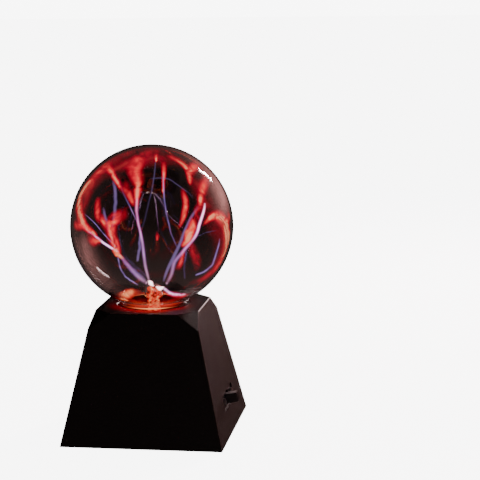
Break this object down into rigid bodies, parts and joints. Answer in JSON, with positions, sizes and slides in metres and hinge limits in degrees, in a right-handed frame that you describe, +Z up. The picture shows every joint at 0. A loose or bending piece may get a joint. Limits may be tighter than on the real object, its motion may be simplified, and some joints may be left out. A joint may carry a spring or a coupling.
{
  "type": "plasma ball",
  "caption": "Glass plasma globe on a tapered square base with cut corners, a side slide switch and a rear USB power inlet.",
  "frame": {"origin": "middle of the square footprint, on the surface that the four feet stand on", "axes": "+Z up through the globe, -Y the plain front face, +X the side with the switch, +Y the side with the power inlet"},
  "size_m": [0.078, 0.0762, 0.1358],
  "materials": {
    "black_abs": "satin, fine spark-eroded texture",
    "clear_glass": "clear blown glass",
    "black_rubber": "matt",
    "zinc_steel": "zinc plated",
    "metal_wool": "crumpled foil and wool",
    "white_nylon": "natural",
    "foam": "soft foam",
    "board_laminate": "solder resist over laminate",
    "ferrite": "sintered, dull",
    "former_plastic": "glass filled",
    "copper_winding": "enamelled copper",
    "tape_winding": "yellow polyester tape over the coil",
    "aluminium_sink": "extruded",
    "package_black": "epoxy moulding",
    "can_sleeve": "shrink sleeve on aluminium",
    "film_red": "dipped",
    "resistor_tan": "coated",
    "inlet_metal": "plated",
    "inlet_insert": "liquid crystal polymer",
    "switch_steel": "nickel plated",
    "switch_case": "phenolic moulding",
    "tinned_pins": "tinned",
    "knob_black": "satin",
    "red_lead": "insulation",
    "silicone_lead": "silicone insulation"
  },
  "bodies": {
    "lamp": {"base_shell": "black_abs", "bottom_cover": "black_abs", "rubber_feet": "black_rubber", "cover_screws": "zinc_steel", "glass_globe": "clear_glass", "electrode_stem": "clear_glass", "electrode_wool": "metal_wool", "globe_gasket": "black_rubber", "globe_socket": "white_nylon", "globe_cushion": "foam", "socket_screws": "zinc_steel", "circuit_board": "board_laminate", "board_screws": "zinc_steel", "transformer_core": "ferrite", "transformer_bobbin": "former_plastic", "primary_winding": "copper_winding", "secondary_winding": "tape_winding", "high_voltage_lead": "silicone_lead", "heatsink": "aluminium_sink", "power_transistor": "package_black", "heatsink_screw": "zinc_steel", "electrolytic_capacitors": "can_sleeve", "film_capacitor": "film_red", "resistors": "resistor_tan", "diode": "package_black", "usb_socket_shell": "inlet_metal", "usb_socket_insert": "inlet_insert", "switch_frame": "switch_steel", "switch_case": "switch_case", "switch_terminals": "tinned_pins", "switch_screws": "zinc_steel", "switch_leads": "red_lead"},
    "switch_slider": {"switch_knob": "knob_black", "switch_contact": "tinned_pins"}
  },
  "joints": [
    {"name": "power_switch", "type": "slide", "parent": "lamp", "child": "switch_slider", "axis": [0, 1, 0], "range_m": [0, 0.004]}
  ]
}
